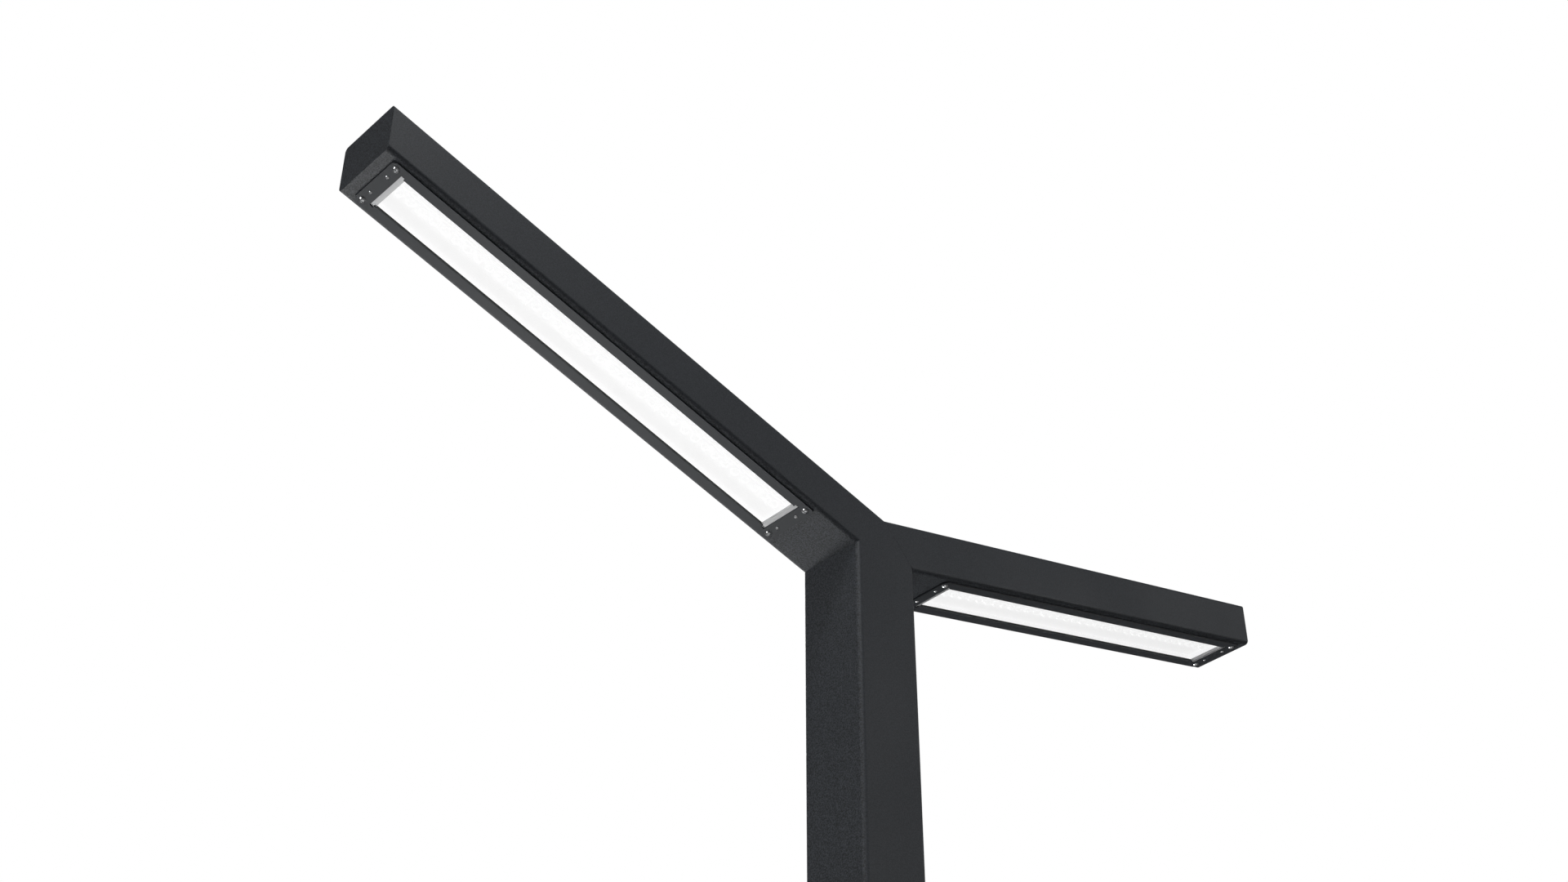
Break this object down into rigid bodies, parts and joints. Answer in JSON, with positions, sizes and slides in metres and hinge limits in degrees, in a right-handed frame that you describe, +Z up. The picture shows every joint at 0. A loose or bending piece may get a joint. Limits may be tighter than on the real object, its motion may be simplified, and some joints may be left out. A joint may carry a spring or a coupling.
{
  "type": "light column",
  "caption": "Square street or park light column with two rising arms, each with an LED window in its underside, a service door and a base plate.",
  "frame": {"origin": "centre of the base plate's underside, on the ground at the column's axis", "axes": "+Z up along the column, +X along the right arm, -Y towards the service door"},
  "size_m": [1.87, 0.3, 3.9973],
  "materials": {
    "powder_coat": "fine sandy powder coat, dark grey",
    "plate_coat": "smooth satin powder coat, dark grey",
    "zinc_steel": "zinc plated",
    "stainless": "bright stainless steel",
    "lock_metal": "nickel plated zinc casting",
    "brass": "turned brass",
    "tinned_copper": "tinned copper",
    "black_seal": "black EPDM and silicone",
    "pane_glass": "toughened clear glass",
    "bar_aluminium": "light grey anodised",
    "tray_white": "white gloss reflector coat",
    "board_white": "white solder mask on an aluminium board",
    "lens_clear": "clear acrylic",
    "driver_case": "potted light grey case",
    "box_grey": "light grey moulding",
    "lid_clear": "smoked moulding",
    "gland_black": "black nylon",
    "terminal_grey": "grey moulding",
    "cable_black": "black sheath",
    "earth_green": "green and yellow sheath"
  },
  "bodies": {
    "column": {"base_plate": "powder_coat", "column_tube": "powder_coat", "right_arm_tube": "powder_coat", "left_arm_tube": "powder_coat", "right_arm_end_cap": "powder_coat", "left_arm_end_cap": "powder_coat", "hinge_column_halves": "powder_coat", "right_window_plate": "plate_coat", "left_window_plate": "plate_coat", "door_frame": "zinc_steel", "equipment_rail": "zinc_steel", "rail_studs": "zinc_steel", "rail_nuts": "zinc_steel", "plate_weld_nuts": "zinc_steel", "din_rail": "zinc_steel", "box_screws": "zinc_steel", "driver_screws": "zinc_steel", "tray_screws": "zinc_steel", "plate_corner_screws": "stainless", "end_bar_screws": "stainless", "lid_screws": "stainless", "earth_stud": "stainless", "earth_nut_and_washer": "stainless", "hinge_washers": "brass", "tray_standoffs": "brass", "earth_lug": "tinned_copper", "door_seal": "black_seal", "right_plate_seal": "black_seal", "left_plate_seal": "black_seal", "right_pane_seals": "black_seal", "left_pane_seals": "black_seal", "right_window_pane": "pane_glass", "left_window_pane": "pane_glass", "right_window_end_bars": "bar_aluminium", "left_window_end_bars": "bar_aluminium", "right_led_tray": "tray_white", "left_led_tray": "tray_white", "right_led_boards": "board_white", "left_led_boards": "board_white", "right_led_lenses": "lens_clear", "left_led_lenses": "lens_clear", "right_led_driver": "driver_case", "left_led_driver": "driver_case", "junction_box": "box_grey", "junction_box_lid": "lid_clear", "cable_glands": "gland_black", "terminal_block": "terminal_grey", "fuse_carriers": "terminal_grey", "right_riser_cable": "cable_black", "left_riser_cable": "cable_black", "right_output_lead": "cable_black", "left_output_lead": "cable_black", "earth_lead": "earth_green"},
    "door": {"door_leaf": "powder_coat", "hinge_door_halves": "powder_coat", "lock_body": "lock_metal", "lock_nut": "lock_metal"},
    "lock": {"lock_rotor": "lock_metal", "lock_cam": "zinc_steel", "cam_screw": "zinc_steel"}
  },
  "joints": [
    {"name": "door_swing", "type": "hinge", "parent": "column", "child": "door", "pos_m": [-0.04225, -0.0653, 0.7], "axis": [0, 0, -1], "range_deg": [0, 175]},
    {"name": "lock_turn", "type": "hinge", "parent": "door", "child": "lock", "pos_m": [0.02, -0.05, 0.7], "axis": [0, -1, 0], "range_deg": [0, 90]}
  ]
}
